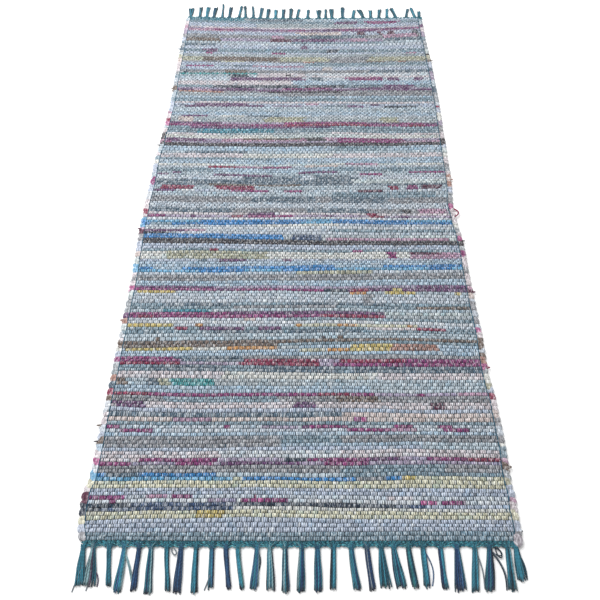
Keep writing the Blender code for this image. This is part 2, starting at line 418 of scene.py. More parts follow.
# The order of the rags from the near end: the first rag of a run and the first one after it,
# its colour all the way across, or None where the rags below show, and then any shorter
# strips in it, as their left and right ends in % of the width.
RAG_ORDER = (
    (0, 2, "steel"),
    (2, 5, "lilac"),
    (5, 8, "butter", (27, 33, "mustard")),
    (7, 8, None, (35, 100, "cream")),
    (7, 9, None, (0, 5, "navy"), (5, 34, "indigo")),
    (8, 9, "indigo", (0, 12, "navy"), (36, 72, "navy"), (80, 100, "lilac")),
    (9, 10, "white", (7.3, 8.8, "magenta"), (39.3, 40.6, "crimson"), (30, 36, "mauve"),
     (37, 48, "magenta"), (40, 41.5, "pink"), (77, 82, "pink"), (83, 88, "magenta")),
    (10, 11, "milk", (39.3, 40.6, "crimson"), (1, 10, "magenta"), (14, 20, "rose"),
     (21, 25, "magenta"), (70, 76, "blush")),
    (11, 13, "lilac"),
    (13, 16, "butter"),
    (15, 16, None, (77, 100, "butter"), (0, 35, "sky"), (35, 63, "blue"), (63, 70, "taupe"),
     (70, 74, "blue"), (74, 77, "mustard")),
    (16, 17, "steel", (0, 4.5, "blue"), (4.5, 12, "slate"), (12, 31, "blue"),
     (31, 60, "frost"), (62, 100, "steel")),
    (17, 19, "taupe", (60, 100, "steel"), (85, 100, "taupe")),
    (19, 20, "mauve", (0, 10, "magenta"), (10, 20, "mauve"), (20, 30, "magenta"),
     (30, 50, "plum"), (55, 66, "magenta")),
    (20, 21, "mauve", (0, 12, "blush"), (12, 30, "magenta"), (30, 50, "mauve"),
     (46, 52, "navy"), (52, 66, "magenta"), (66, 75, "plum"), (80, 90, "magenta"),
     (90, 98, "crimson")),
    (21, 23, "blush", (30, 60, "white"), (70, 82, "blush")),
    (23, 25, "lilac"),
    (24, 26, None, (0, 48, "taupe")),
    (24, 25, None, (45, 80, "azure")),
    (23, 25, None, (80, 100, "frost")),
    (25, 27, "taupe", (46, 100, "steel"), (60, 100, "taupe")),
    (27, 28, "azure"),
    (28, 29, "milk", (5.5, 13, "magenta"), (61.5, 72, "magenta"), (73, 78, "rose"),
     (84.5, 92, "magenta")),
    (29, 30, "milk", (2, 5, "magenta"), (31, 32.5, "magenta"), (40, 49, "mauve"),
     (50, 53, "plum"), (53.5, 61, "magenta"), (73, 77, "magenta"), (84, 88, "magenta")),
    (30, 31, "steel"),
    (31, 32, "peach", (18, 28, "rose"), (63, 66, "pink")),
    (32, 33, "slate", (60, 100, "peach")),
    (33, 34, "lilac"),
    (34, 36, "blush", (3, 10, "plum"), (49, 54, "plum"), (83, 87, "wine")),
    (36, 38, "taupe", (15, 45, "steel"), (60, 70, "brown")),
    (38, 39, "magenta", (0, 12, "crimson"), (55, 62, "crimson"), (68, 80, "mauve"),
     (83, 90, "mauve"), (90, 100, "rose")),
    (39, 41, "azure", (68, 100, "frost")),
    (41, 43, "frost", (1, 5, "brown"), (10, 13, "slate"), (13, 16, "olive"), (16, 28, "sea"),
     (28, 50, "sage")),
    (43, 45, "blush", (30, 70, "cream")),
    (45, 47, "steel", (10, 30, "slate"), (38, 60, "slate"), (64, 100, "slate")),
    (47, 50, "mauve", (0, 18, "crimson"), (24, 33, "mauve"), (33, 55, "crimson"),
     (60, 78, "magenta"), (78, 100, "magenta")),
    (48, 50, None, (0, 18, "magenta"), (18, 35, "slate")),
    (48, 49, None, (60, 78, "crimson")),
    (49, 50, None, (78, 100, "plum"), (35, 100, "taupe")),
    (49, 51, None, (15, 35, "slate")),
    (50, 53, "azure"),
    (52, 54, None, (2, 21, "mustard"), (21, 30, "cream")),
    (52, 53, None, (30, 44, "orange"), (44, 50, "sage")),
    (51, 52, None, (50, 57, "olive"), (57, 64, "orange")),
    (51, 53, None, (64, 77, "mustard"), (75, 88, "rust")),
    (53, 55, "brown", (45, 100, "steel")),
    (54, 56, None, (45, 100, "brown")),
    (55, 56, "frost", (10, 11, "brown"), (56, 57.5, "umber"), (61, 62, "brown")),
    (56, 57, "frost"),
    (57, 58, "steel", (25, 45, "slate"), (48, 66, "slate")),
    (58, 59, "steel", (15, 19, "crimson"), (23, 35, "plum"), (38, 45, "plum"),
     (68, 82, "blush"), (83, 90, "crimson")),
    (59, 60, "milk", (2, 14.5, "mustard"), (20.5, 22.5, "orange"), (48, 82, "butter"),
     (49, 51, "orange"), (60, 66, "orange"), (79, 81, "orange")),
    (60, 61, "white"),
    (61, 62, "milk", (34, 37, "peach"), (46, 100, "steel")),
    (62, 64, "magenta", (3, 9, "crimson"), (55, 74, "crimson"), (74, 100, "sage")),
    (63, 64, None, (0, 30, "magenta"), (30, 74, "plum"), (74, 100, "mint")),
    (64, 65, "frost", (10, 25, "teal")),
    (65, 66, "steel", (30, 60, "taupe"), (83, 100, "brown")),
    (66, 67, "steel", (12, 30, "slate"), (45, 73, "slate")),
    (67, 70, "milk", (68, 71, "taupe")),
    (70, 71, "frost", (2, 13, "mustard"), (64, 69, "orange"), (75, 83, "mustard"),
     (93, 96, "mustard")),
    (71, 72, "plum", (0, 25, "magenta"), (30, 57, "magenta"), (57, 65, "navy"),
     (64, 70, "crimson"), (70, 83, "plum"), (76, 79, "mustard")),
    (72, 73, "mauve", (0, 25, "plum"), (83, 100, "plum")),
    (73, 75, "azure"),
    (75, 77, "taupe"),
    (77, 78, "milk", (50, 72, "olive")),
    (78, 79, "sky", (20, 33, "blue"), (45, 60, "blue"), (88, 95, "deep")),
    (79, 80, "blue", (5, 14, "azure"), (60, 75, "azure"), (88, 95, "deep")),
    (80, 82, "azure"),
    (82, 83, "lilac", (20, 23, "slate"), (25, 35, "plum"), (44, 47, "plum"), (55, 57, "slate")),
    (83, 86, "cream", (10, 40, "olive"), (76, 79, "magenta"), (83, 100, "rose")),
    (85, 87, None, (83, 92, "wine")),
    (86, 87, "steel", (22, 26, "crimson"), (65, 69, "magenta")),
    (87, 89, "lilac"),
    (89, 91, "umber"),
    (91, 93, "sage", (1, 45, "blue"), (47, 57, "indigo"), (80, 100, "mint")),
    (91, 92, None, (58, 95, "rose")),
    (93, 94, "milk", (0, 10, "navy")),
    (94, 95, "milk", (1, 15, "plum"), (15, 22, "rose"), (60, 100, "steel")),
    (95, 96, "white"),
    (96, 97, "milk", (38, 62, "cream")),
    (97, 98, "blue", (3, 10, "steel"), (35, 52, "deep"), (50, 60, "sky"), (60, 97, "deep")),
    (98, 99, "sky", (20, 52, "blue"), (60, 85, "blue")),
    (99, 100, "white"),
    (100, 101, "mauve", (0, 7, "magenta"), (15, 18, "plum"), (28, 33, "crimson"),
     (34, 48, "magenta"), (58, 60, "plum"), (72, 78, "crimson"), (81, 84, "plum")),
    (101, 102, "blush", (34, 42, "plum"), (72, 76, "crimson")),
    (102, 104, "taupe", (1, 30, "slate"), (53, 72, "slate"), (83, 86, "umber"),
     (88, 98, "rose")),
    (104, 107, "lilac", (0, 100, "milk")),
    (107, 110, "taupe", (34, 55, "slate"), (60, 80, "slate")),
    (110, 112, "frost", (60, 95, "steel")),
    (112, 113, "milk", (0, 8, "plum"), (15, 20, "lilac"), (28, 40, "magenta"),
     (45, 51, "magenta"), (69, 77, "wine")),
    (113, 115, "frost", (5, 15, "crimson"), (22, 35, "crimson"), (79, 82, "crimson"),
     (85, 89, "magenta"), (90, 97, "wine")),
    (115, 118, "slate", (20, 50, "brown")),
    (116, 118, None, (0, 67, "slate"), (67, 100, "mint")),
    (118, 120, "milk", (30, 50, "slate"), (55, 68, "slate")),
    (120, 121, "frost", (1, 7, "plum"), (21, 40, "plum"), (70, 77, "magenta")),
    (121, 122, "frost", (8, 10, "plum"), (50, 62, "plum"), (86, 98, "magenta")),
    (122, 124, "steel", (20, 60, "azure")),
    (124, 125, "milk", (18, 28, "crimson"), (28, 37, "rose"), (37, 47, "magenta"),
     (52, 63, "peach")),
    (125, 126, "cream", (20, 60, "mint"), (65, 76, "rose")),
    (126, 129, "azure"),
    (128, 129, None, (0, 40, "steel")),
    (129, 131, "blush", (30, 60, "cream")),
    (131, 132, "frost", (10, 32, "slate")),
    (132, 134, "azure", (60, 80, "steel")),
    (134, 136, "umber"),
    (136, 137, "mauve", (0, 5, "pink"), (62, 86, "magenta"), (86, 98, "rose")),
    (137, 139, "mauve", (22, 62, "rose"), (62, 86, "magenta"), (1, 16, "plum")),
    (138, 140, None, (30, 50, "brown")),
    (137, 139, None, (51, 57, "umber")),
    (139, 141, "cream", (40, 70, "mint")),
    (141, 142, "blush", (20, 60, "sage")),
    (142, 144, "steel", (12, 40, "teal")),
    (144, 145, "steel", (10, 60, "plum")),
    (145, 146, "magenta", (43, 73, "crimson"), (88, 93, "crimson")),
    (146, 147, "plum", (20, 43, "mauve"), (43, 73, "magenta"), (85, 93, "magenta")),
    (147, 150, "sage", (5, 10, "peach"), (36, 50, "olive"), (78, 84, "olive")),
    (150, 151, "milk", (5, 15, "plum"), (20, 29, "cream"), (29, 41, "slate")),
    (151, 153, "azure"),
    (153, 156, "frost"),
    (156, 157, "lilac", (5, 35, "plum"), (39, 48, "mauve"), (57, 66, "slate"),
     (66, 72, "plum"), (79, 91, "navy")),
    (157, 158, "lilac", (10, 28, "plum"), (51, 55, "rose"), (74, 78, "plum")),
    (158, 159, "blush"),
    (159, 161, "steel"),
    (161, 162, "azure"),
    (162, 164, "sage", (40, 100, "taupe")),
    (164, 165, "taupe", (3, 20, "rust"), (36, 65, "umber")),
    (165, 166, "plum", (8, 15, "rose"), (20, 30, "plum"), (42, 64, "plum"),
     (64, 90, "plum")),
    (166, 167, "mauve", (20, 30, "plum"), (42, 60, "magenta"), (70, 90, "plum")),
    (167, 169, "steel", (15, 48, "navy"), (50, 66, "navy"), (68, 80, "slate"),
     (80, 92, "plum")),
    (169, 172, "azure", (0, 45, "blush")),
    (172, 174, "milk", (22, 35, "plum"), (32, 50, "plum"), (52, 58, "slate"),
     (66, 80, "magenta"), (82, 86, "plum"), (91, 96, "plum")),
    (174, 177, "white", (0, 32, "frost"), (21, 29, "navy"), (32, 100, "blush"),
     (43, 44, "umber")),
    (176, 177, None, (0, 32, "sea")),
    (175, 177, None, (50, 100, "white")),
    (177, 179, "taupe", (3, 6, "navy"), (20, 28, "brown"), (75, 100, "slate")),
    (179, 181, "lilac", (57, 62, "peach")),
    (181, 184, "frost", (4, 15, "magenta"), (17, 30, "slate"), (30, 50, "rose")),
    (182, 184, None, (50, 100, "steel"), (0, 50, "lilac")),
    (184, 185, "taupe", (17, 26, "olive"), (50, 54, "rust"), (74, 82, "brown"),
     (87, 90, "rust")),
    (185, 188, "olive", (10, 40, "brown"), (60, 75, "taupe")),
    (188, 190, "sage"),
    (190, 191, "lilac", (11, 13, "magenta"), (37, 42, "magenta"), (91, 95, "rose")),
    (191, 193, "steel", (10, 16, "plum"), (59, 64, "navy")),
    (193, 195, "lilac", (50, 51, "plum")),
    (195, 196, "milk", (0, 15, "slate")),
    (196, 197, "frost", (45, 80, "steel")),
    (197, 199, "mauve", (2, 16, "brown"), (36, 45, "wine"), (46, 64, "plum"), (69, 75, "rose"),
     (82, 100, "slate")),
    (199, 201, "taupe", (2, 17, "taupe"), (36, 42, "rose"), (48, 75, "slate"), (83, 96, "rose")),
    (201, 203, "lilac", (47, 65, "peach"), (72, 75, "wine"), (81, 83, "wine"),
     (84, 88, "wine"), (94, 97, "navy")),
    (203, 204, "mauve", (0, 22, "rose"), (70, 80, "plum")),
    (204, 205, "magenta", (0, 12, "rose"), (20, 40, "plum"), (50, 65, "plum")),
    (205, 206, "mauve", (10, 25, "rose"), (60, 90, "plum")),
    (206, 207, "blush"),
    (207, 210, "lilac", (30, 70, "sage")),
    (210, 212, "steel", (63, 72, "plum"), (77, 90, "magenta")),
    (212, 214, "frost", (0, 25, "teal"), (27, 50, "slate"), (60, 100, "azure")),
)

RINGS = 2 * ENDS - 1  # one at each warp end and one at the shoulder between each two
SHOULDER = 0.23  # from a dip to the shoulder beside it, as a share of the warp's spacing
RAG_TOP = (0.0033, 0.0029, 0.0002)  # over an end, at the shoulders and under an end
RAG_BOTTOM = (0.0006, 0.0026, 0.0031)
RAG_SWELL = (1.10, 1.12, 0.94)  # share of the room between its neighbours that a rag fills
UNSHADED_SHARE = (1.0, 0.84, 0.06)  # share of its own colour a rag keeps over an end, at the shoulders and under an end; the rest is painted shade
EDGE_SAG = 0.55  # how high a rag still stands at the outermost ends
SLOT_WARP_AND_SHADE = "#0f3856"  # the dark of the warp showing in a dip, mixed with painted shade down there
STUB = 0.006  # how far each rag reaches past the outermost ends, as a share of the width
LINE_WAVE = 0.10  # how far the line between two rags strays, in pitches
DIP_STRAY = 0.035  # how far a dip strays across, in spacings of the warp
BUMP_STRAY, SWELL_STRAY, ROW_STRAY = 0.10, 0.05, 0.00015

across = np.concatenate([[-STUB], np.arange(RINGS) / (RINGS - 1), [1 + STUB]])
lines = shed_lines(across)
lines[1:-1] += LINE_WAVE * PITCH * smooth_noise(random, (PICKS - 1, len(across)), 14)
row_y = (lines[:-1] + lines[1:]) / 2
half_row = (lines[1:] - lines[:-1]) / 2

ring = np.arange(-1, RINGS + 1)
end_of_ring = np.clip(ring // 2, 0, ENDS - 1)
crossing = (ring % 2 == 0) | (ring < 0) | (ring >= RINGS)
under = (end_of_ring + np.arange(PICKS)[:, None]) % 2 == 1
state = np.where(crossing, np.where(under, 2, 0), 1)
shoulder = np.where(under, ring // 2 + SHOULDER, ring // 2 + 1 - SHOULDER)
place = np.where(crossing, ring / 2, shoulder)
place = place + DIP_STRAY * random.normal(size=state.shape)
bump = BUMP_STRAY * random.normal(size=state.shape)
top = np.take(RAG_TOP, state) * (1 + np.where(state == 2, 0, bump))
top[:, :2 * EDGE_ENDS] *= EDGE_SAG
top[:, -2 * EDGE_ENDS:] *= EDGE_SAG
bottom = np.take(RAG_BOTTOM, state)
swell = np.take(RAG_SWELL, state) * (1 + SWELL_STRAY * random.normal(size=state.shape))
row_y = row_y + ROW_STRAY * random.normal(size=state.shape)
half_rag = half_row * swell
rag_x = field_x(place / (ENDS - 1), row_y)
rag_x[:, [0, -1]] = field_x(across, row_y)[:, [0, -1]]
# Round a rag: its two upper corners, its far side, its underside and its near side.
steps = np.array([[-0.76, 1.0], [0.76, 1.0], [1.0, 0.1], [0.0, -1.0], [-1.0, 0.1]])
rise = np.where(steps[:, 1] > 0, top[..., None], bottom[..., None]) * steps[:, 1]
weft_rings = np.stack([
    np.broadcast_to(rag_x[..., None], rag_x.shape + (len(steps),)),
    row_y[..., None] + half_rag[..., None] * steps[:, 0],
    WEB_MIDDLE + rise,
], -1)


STRIP_STRAY = 0.5  # how far the end of a strip strays, in % of the width


def rag_colours(across_rug):
    """The colour of each rag at places across the rug, from the order of the rags."""
    colours = np.empty((PICKS, len(across_rug), 3))
    colours[:] = dye(RAG_DYES["milk"])
    for first, last, whole, *strips in RAG_ORDER:
        runs = ([(0, 100, whole)] if whole else []) + strips
        for left, right, name in runs:
            for rag in range(first, last):
                ends = np.array([left, right]) + random.normal(size=2) * STRIP_STRAY
                low = -10 if left <= 0 else ends[0]
                high = 110 if right >= 100 else ends[1]
                chosen = (across_rug * 100 >= low) & (across_rug * 100 <= high)
                colours[rag, chosen] = dye(RAG_DYES[name])
    return colours


FIELD_SHARE = (WIDTH - 2 * TURNING) / WIDTH  # of the width, between the outermost ends
TONE_DRIFT, TONE_STRAY = 0.10, 0.13
WORN = (0.15, 0.75)  # how pale a worn spot is, and how much more so in pale cloth
WORN_DYE, COOL_DYE = "#eef3f8", "#8fc8de"
COOL, COOL_GAIN = 0.32, 1.4  # how far some strips run to pale blue, and its brightness
FLECK, FLECK_SHARE = 0.40, 0.30  # how pale and how many the flecks of the dark blue prints are
LOW_SIDE_SHADE = 0.62  # painted shade on the sides and the underside of a rag
GRAIN = 0.06

rag_dye = rag_colours(0.5 + (across - 0.5) * FIELD_SHARE)
dips = rag_dye.shape[:2]
tone = 1 + TONE_DRIFT * smooth_noise(random, dips, 10)
tone += TONE_STRAY * random.normal(size=dips)
pale = np.clip(random.normal(size=dips) - 1.0, 0, 1)[..., None]
pale = pale * (WORN[0] + WORN[1] * rag_dye.mean(-1, keepdims=True))
printed = (rag_dye[..., 2] > 1.5 * rag_dye[..., 0]) & (rag_dye.mean(-1) < 0.18)
flecks = printed & (random.random(dips) < FLECK_SHARE)
pale = np.where(flecks[..., None], FLECK, pale)
cool = np.clip(smooth_noise(random, dips, 2) - 0.25, 0, 1)[..., None] * COOL
rag_dye = rag_dye * tone[..., None].clip(0.5, 1.5)
rag_dye = rag_dye * (1 - cool) + rag_dye * dye(COOL_DYE) * COOL_GAIN * cool
rag_dye = rag_dye * (1 - pale) + dye(WORN_DYE) * pale
weft_colours = np.repeat(rag_dye[:, :, None], len(steps), 2)
# Painted shade: each rag darkens towards the slot colour at its shoulders, and most of all in the
# dips under the warp.
shade_of = np.take(UNSHADED_SHARE, state)[..., None, None]
weft_colours = weft_colours * shade_of + dye(SLOT_WARP_AND_SHADE) * (1 - shade_of)
grain = (1 + GRAIN * random.normal(size=weft_colours.shape[:3]))[..., None]
# Painted shade on the sides and underside of each rag, times the random grain.
weft_colours = weft_colours * np.where(steps[:, 1] > 0.5, 1.0, LOW_SIDE_SHADE)[:, None] * grain
weft_colours = weft_colours.clip(0.004, 0.95)


def rag_cloth(name, pleat_shade):
    """Washed cotton rag, bunched into fine pleats, with a dry, matt face, painted shade low in its
    pleats, folds and threads, and a painted highlight on the ridges of its folds.

    The second argument is the share of colour that the painted shade leaves at the bottom of a
    pleat."""
    material, shader, tint = shader_of(name, 0.93)
    where = add_node(material, "ShaderNodeTexCoord", {}).outputs["Object"]
    drift = noise_of(material, where, 160.0, 2.0)
    astray = sum_of(material, "MULTIPLY_ADD", drift, 0.7, -0.35)
    pleats = waves(material, PLEATS, 0, astray)
    stretched = add_node(
        material, "ShaderNodeMapping", {}, Vector=where, Scale=(1.0, 0.30, 0.5),
    ).outputs["Vector"]
    folds = noise_of(material, stretched, 520.0, 3.0, Roughness=0.65)
    threads = noise_of(material, where, 1500.0, 2.0)
    # Painted shade in the low places of the pleats, folds and threads, which also make the relief.
    shade = shaded(
        material, tint,
        (pleats, ((0.0, pleat_shade), (0.35, 0.65 + pleat_shade / 2), (0.8, 1.0))),
        (folds, ((0.34, 0.45), (0.5, 0.85), (0.62, 1.0))),
        (threads, ((0.3, 0.85), (0.7, 1.0))),
    )
    # Painted highlight: the ridges of the folds are paled towards a light grey.
    fold_ridge_highlight = ramp_of(material, folds, ((0.52, 0.0), (0.70, 0.60)))
    shade = add_node(
        material, "ShaderNodeMix", {"data_type": "RGBA"},
        i0=fold_ridge_highlight, i6=shade, i7=(0.84, 0.88, 0.90, 1.0),
    ).outputs[2]
    relief = relief_of(
        material, (pleats, 0.8, 0.0008), (folds, 0.6, 0.0006), (threads, 0.3, 0.0002),
    )
    roughness = ramp_of(material, folds, ((0.2, 0.84), (0.8, 0.98)))
    finish(material, shader, shade, relief, roughness, 0.12, 0.7)
    return material


PLEATS = 1.5  # pleats in a rag from one warp end to the next
rag_cotton = rag_cloth("rag_cotton", 0.26)
WEFT_PIECES = 4
RUN_STRAY = 0.03
step_aside = (1 + np.arange(PICKS) % 2)[:, None]
weft_run = place - step_aside - 0.25 / PLEATS + RUN_STRAY * random.normal(size=(PICKS, 1))
breaks = np.linspace(0, PICKS, WEFT_PIECES + 1).astype(int)
for number, (first, last) in enumerate(zip(breaks, breaks[1:]), 1):
    piece = strands(
        f"weft_{number}", weft_rings[first:last], weft_colours[first:last], rag_cotton,
        weft_run[first:last],
    )
    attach(piece, "root")

# ---------------------------------------------------------------------------------------
# The web: the rags and the warp make one flat cloth. This is a closed, dark sheet at its
# middle: painted shade, which shows only as the dark of the gaps between the bumps.
# ---------------------------------------------------------------------------------------
WEB_HALF = 0.0003
WEB_INSET = 0.0045  # from the edge of the rug
WEB_STEPS = (20, 107)  # places across and along
WEB_SHORT = 0.001  # how far it stops short of the fringes
# The painted shade that the sheet shows in the gaps between the bumps.
WEB_SHADE = "#1d2f3a"

web_across = np.linspace(0, 1, WEB_STEPS[0] + 1)
web_lines = shed_lines(web_across)[:: PICKS // WEB_STEPS[1]]
web_lines[0] += WEB_SHORT
web_lines[-1] -= WEB_SHORT
left_x = edge_x(-1, web_lines) + WEB_INSET
right_x = edge_x(1, web_lines) - WEB_INSET
web_x = left_x + (right_x - left_x) * web_across
rows, columns = web_x.shape
index = np.arange(rows * columns).reshape(rows, columns)
quads = np.stack([index[:-1, :-1], index[:-1, 1:], index[1:, 1:], index[1:, :-1]], -1)
faces = quads.reshape(-1, 4).tolist()
faces += (quads[..., ::-1] + rows * columns).reshape(-1, 4).tolist()
rim = np.concatenate([index[0], index[1:, -1], index[-1, -2::-1], index[-2:0:-1, 0]])
for here, there in zip(rim, np.roll(rim, -1)):
    faces.append((here + rows * columns, there + rows * columns, there, here))
points = np.stack([web_x, web_lines, np.full_like(web_x, WEB_MIDDLE + WEB_HALF)], -1)
points = np.concatenate([points, points - (0, 0, 2 * WEB_HALF)]).reshape(-1, 3)
mesh = bpy.data.meshes.new("gap_shade_web")
mesh.from_pydata(points.tolist(), [], faces)
tint = mesh.color_attributes.new("dye", "FLOAT_COLOR", "POINT")
web_colours = np.ones((len(points), 4), np.float32)
web_colours[:, :3] = dye(WEB_SHADE)
tint.data.foreach_set("color", web_colours.ravel())
mesh.materials.append(rag_cotton)
gap_shade_web = bpy.data.objects.new("gap_shade_web", mesh)
bpy.context.scene.collection.objects.link(gap_shade_web)
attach(gap_shade_web, "root")
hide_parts("rug_body")

# ---------------------------------------------------------------------------------------
# The selvedges: no binding. Each rag turns round the outermost end and comes back as the
# next one, so both sides are a row of soft loops two rags long, one side out of step with
# the other. Here the strips are not drawn tight, and their own colours show best.
# ---------------------------------------------------------------------------------------
LOOP_RINGS = 9
LOOP_SIDES = 8
LOOP_HALF = 0.0045  # half the width of a rag in its turn
LOOP_THICK = 0.0031
LOOP_ROOT = 0.06  # where a loop leaves the outermost end, as a share of its reach
LOOP_SHOULDER = 0.76  # and how far out its two corners are
LOOP_PALE = 0.12  # the unworn cloth in the loops is this much paler
LOOP_PALE_DYE = "#f4eeec"
LOOP_STRAY = 0.06  # how much shorter or longer than its neighbours a loop is, as a share
LOOP_RUN = 0.6  # pleats from one ring of a loop to the next
FIRST_LOOP = {-1: 0, 1: 1}  # the first rag that turns back, on the left and on the right

# The colours of the loops, which hide the face of their rags: how far along the selvedge
# each begins, in pitches of the rags, for the left side and then the right.
LOOP_DYES = {
    -1: (
        (0, "taupe"), (2, "lilac"), (4, "butter"), (6.2, "navy"), (9, "wine"), (11.4, "blush"),
        (12.8, "butter"), (14.6, "sky"), (16.6, "white"), (18.3, "pink"), (20, "blush"),
        (22, "azure"), (23.6, "brown"), (25.2, "lilac"), (27, "milk"), (29, "blush"),
        (32, "white"), (35.2, "brown"), (37, "crimson"), (39.6, "slate"), (41.3, "rust"),
        (43, "sage"), (44.5, "grey"), (46.6, "magenta"), (48.6, "lilac"), (50.3, "cream"),
        (51.6, "brown"), (53.8, "blush"), (55, "white"), (56.4, "steel"), (57.4, "mint"),
        (59.4, "rust"), (61.6, "plum"), (63.6, "grey"), (68.4, "mint"), (70.6, "pink"),
        (72.6, "blush"), (74, "taupe"), (76, "blush"), (77.8, "sky"), (80.8, "mint"),
        (83, "sage"), (84, "peach"), (86, "lilac"), (89.6, "taupe"), (92.7, "wine"),
        (94.9, "rose"), (96, "sky"), (97, "blue"), (98.7, "sky"), (99.7, "blush"),
        (101.2, "crimson"), (103.6, "blush"), (107.6, "white"), (111.6, "lilac"),
        (114.7, "magenta"), (117.8, "frost"), (120.3, "lilac"), (124.3, "cream"),
        (126.8, "steel"), (128.5, "blush"), (130.3, "frost"), (134.3, "umber"), (135.8, "rose"),
        (137.4, "umber"), (140.3, "blush"), (142.6, "frost"), (144.5, "pink"), (146.7, "crimson"),
        (148.3, "blush"), (151, "rose"), (152.4, "lilac"), (158.5, "steel"), (160.4, "frost"),
        (164.4, "brown"), (167.3, "grey"), (169.7, "milk"), (172.9, "steel"), (174.6, "grey"),
        (177, "blush"), (182.3, "peach"), (185.2, "olive"), (187.7, "sage"), (191, "slate"),
        (192.7, "grey"), (195, "steel"), (196.8, "lilac"), (200, "taupe"), (202, "mauve"),
        (206, "rose"), (209, "blush"), (211.4, "frost"),
    ),
    1: (
        (0, "taupe"), (3.4, "lilac"), (6, "butter"), (7.9, "blush"), (9.8, "rose"),
        (11.6, "lilac"), (14.2, "olive"), (15.6, "grey"), (17.6, "brown"), (19.4, "rose"),
        (21, "steel"), (23.7, "cream"), (25, "taupe"), (26.8, "milk"), (29, "taupe"),
        (31.3, "peach"), (33.3, "blush"), (36.2, "crimson"), (38, "lilac"), (39.8, "olive"),
        (41.2, "cream"), (44, "grey"), (45.6, "pink"), (47.2, "rust"), (49, "brown"),
        (50.7, "milk"), (52, "brown"), (55.2, "blush"), (57, "pink"), (58.4, "milk"),
        (60, "taupe"), (62.7, "milk"), (64.6, "taupe"), (67.4, "milk"), (69, "peach"),
        (70.5, "wine"), (72, "rose"), (73, "blush"), (77.8, "taupe"), (79.9, "blush"),
        (84.3, "magenta"), (86.8, "grey"), (88.9, "umber"), (90.6, "pink"), (92.8, "blush"),
        (93.9, "grey"), (95.6, "cream"), (97.8, "blush"), (104, "pink"), (106.4, "taupe"),
        (109, "grey"), (111.4, "lilac"), (113.9, "rust"), (116.4, "peach"), (118.2, "rust"),
        (119.8, "blush"), (121.4, "grey"), (123.4, "taupe"), (125, "blush"), (128, "cream"),
        (131, "mint"), (132.8, "lilac"), (134.7, "umber"), (138.3, "blush"), (141.2, "taupe"),
        (144.8, "mauve"), (147.7, "cream"), (152, "lilac"), (154.8, "crimson"), (155.8, "milk"),
        (158, "grey"), (163.7, "slate"), (167.4, "frost"), (171.4, "mauve"), (176.8, "slate"),
        (179, "lilac"), (183, "brown"), (184.8, "olive"), (187.3, "umber"), (188.6, "mint"),
        (192, "grey"), (197.9, "steel"), (200.4, "mauve"), (204, "blush"), (206.8, "plum"),
        (209.5, "frost"), (212, "steel"),
    ),
}

loop_cotton = rag_cloth("loop_cotton", 0.72)
mesh_lines = shed_lines(np.array([0.0, 1.0]))
for side, name, column in ((-1, "selvedge_left", 0), (1, "selvedge_right", 1)):
    row_at_edge = (mesh_lines[:-1, column] + mesh_lines[1:, column]) / 2
    firsts = np.arange(FIRST_LOOP[side], PICKS - 1, 2)
    start, stop = row_at_edge[firsts], row_at_edge[firsts + 1]
    middle, half = (start + stop) / 2, (stop - start) / 2
    turn = np.linspace(-np.pi / 2, np.pi / 2, LOOP_RINGS - 2)
    bulge = LOOP_SHOULDER + (1 - LOOP_SHOULDER) * np.cos(turn).clip(0) ** 0.5
    out = np.concatenate([[LOOP_ROOT], bulge, [LOOP_ROOT]])
    along = np.concatenate([[-1.0], np.sin(turn), [1.0]])
    reach = TURNING - LOOP_HALF
    reach_of = reach * (1 + LOOP_STRAY * random.normal(size=len(firsts))).clip(0.85, 1.0)
    loop_y = middle[:, None] + half[:, None] * along
    line_x = edge_x(side, loop_y) - side * TURNING
    loop_x = line_x + side * reach_of[:, None] * out
    tangent_x = np.gradient(loop_x, axis=1)
    tangent_y = np.gradient(loop_y, axis=1)
    size = np.hypot(tangent_x, tangent_y)
    normal_x, normal_y = -tangent_y / size, tangent_x / size
    around = np.linspace(0, 2 * np.pi, LOOP_SIDES, endpoint=False)
    puff = 1 + 0.06 * random.normal(size=loop_x.shape + (LOOP_SIDES,))
    flat = LOOP_HALF * np.cos(around) * puff
    rise = LOOP_THICK * np.sin(around) * puff
    rings = np.stack([
        loop_x[..., None] + normal_x[..., None] * flat,
        loop_y[..., None] + normal_y[..., None] * flat,
        (WEB_MIDDLE + rise).clip(0.0002, None),
    ], -1)
    begins = np.array([begin for begin, colour in LOOP_DYES[side]])
    run_dyes = np.array([dye(RAG_DYES[colour]) for begin, colour in LOOP_DYES[side]])
    loop_places = ((loop_y - NEAR_Y) / PITCH).clip(0, PICKS)
    loop_dye = run_dyes[np.searchsorted(begins, loop_places, side="right") - 1]
    paler = LOOP_PALE * np.clip(loop_dye.mean(-1, keepdims=True) * 1.8, 0, 1)
    loop_dye = loop_dye * (1 - paler) + dye(LOOP_PALE_DYE) * paler
    colours = np.repeat(loop_dye[:, :, None], LOOP_SIDES, 2)
    colours = colours * (1 + 0.05 * random.normal(size=colours.shape[:3]))[..., None]
    loop_run = np.tile(np.arange(LOOP_RINGS) * LOOP_RUN, (len(firsts), 1))
    piece = strands(name, rings, colours.clip(0.004, 0.95), loop_cotton, loop_run)
    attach(piece, "root")

